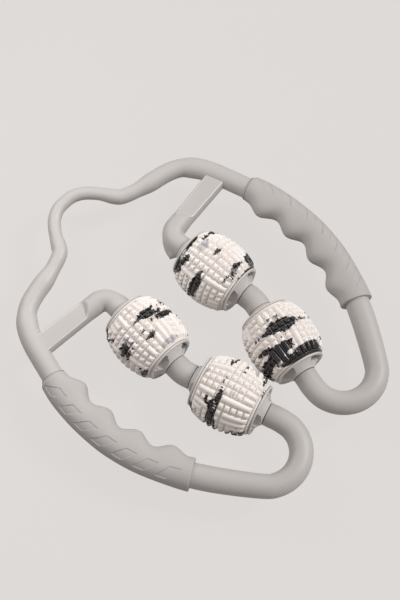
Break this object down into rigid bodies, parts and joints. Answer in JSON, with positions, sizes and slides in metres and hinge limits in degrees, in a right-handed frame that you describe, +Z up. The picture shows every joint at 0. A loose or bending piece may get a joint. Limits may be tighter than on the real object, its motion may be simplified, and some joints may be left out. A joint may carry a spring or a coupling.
{
  "type": "ring massager",
  "caption": "Springy ring frame with two finger grips that holds studded rollers on bent axles, to be rolled round a leg, arm or neck.",
  "frame": {"origin": "on the table, under the middle of the outline", "axes": "+Y towards the bow, +X towards the right arm, +Z up from the table the rollers rest on"},
  "size_m": [0.2186, 0.2519, 0.0477],
  "materials": {
    "frame": "satin moulded nylon, warm light grey",
    "grip": "matte soft-touch elastomer, warm light grey",
    "roller_skin": "matte cream elastomer with black splashes",
    "drum": "matte moulded plastic",
    "sleeve": "smooth self-lubricating plastic",
    "axle": "drawn stainless rod"
  },
  "bodies": {
    "right_frame": {"spring_bow": "frame", "right_arm": "frame", "right_grip": "grip", "right_strut": "frame", "right_axle": "axle", "right_spacer": "frame"},
    "left_frame": {"left_arm": "frame", "left_grip": "grip", "left_strut": "frame", "left_axle": "axle", "left_spacer": "frame"},
    "left_head_roller": {"left_head_roller_skin": "roller_skin", "left_head_roller_drum": "drum", "left_head_roller_head_cap": "frame", "left_head_roller_tail_cap": "frame", "left_head_roller_sleeve": "sleeve"},
    "left_tail_roller": {"left_tail_roller_skin": "roller_skin", "left_tail_roller_drum": "drum", "left_tail_roller_head_cap": "frame", "left_tail_roller_tail_cap": "frame", "left_tail_roller_sleeve": "sleeve"},
    "right_head_roller": {"right_head_roller_skin": "roller_skin", "right_head_roller_drum": "drum", "right_head_roller_head_cap": "frame", "right_head_roller_tail_cap": "frame", "right_head_roller_sleeve": "sleeve"},
    "right_tail_roller": {"right_tail_roller_skin": "roller_skin", "right_tail_roller_drum": "drum", "right_tail_roller_head_cap": "frame", "right_tail_roller_tail_cap": "frame", "right_tail_roller_sleeve": "sleeve"}
  },
  "joints": [
    {"name": "bow_flex", "type": "hinge", "parent": "right_frame", "child": "left_frame", "pos_m": [0, 0.1216, 0.02386], "axis": [0, 0, -1], "range_deg": [0, 14], "stiffness_Nm_per_rad": 8, "deforming": ["spring_bow"]},
    {"name": "left_head_roller_spin", "type": "hinge", "parent": "left_frame", "child": "left_head_roller", "pos_m": [-0.03214, 0.01184, 0.02386], "axis": [0.0593, 0.9982, 0], "continuous": true},
    {"name": "left_tail_roller_spin", "type": "hinge", "parent": "left_frame", "child": "left_tail_roller", "pos_m": [-0.0251, -0.05457, 0.02386], "axis": [-0.2672, 0.9636, 0], "continuous": true},
    {"name": "right_head_roller_spin", "type": "hinge", "parent": "right_frame", "child": "right_head_roller", "pos_m": [0.03214, 0.01184, 0.02386], "axis": [-0.0593, 0.9982, 0], "continuous": true},
    {"name": "right_tail_roller_spin", "type": "hinge", "parent": "right_frame", "child": "right_tail_roller", "pos_m": [0.0251, -0.05457, 0.02386], "axis": [0.2672, 0.9636, 0], "continuous": true}
  ]
}
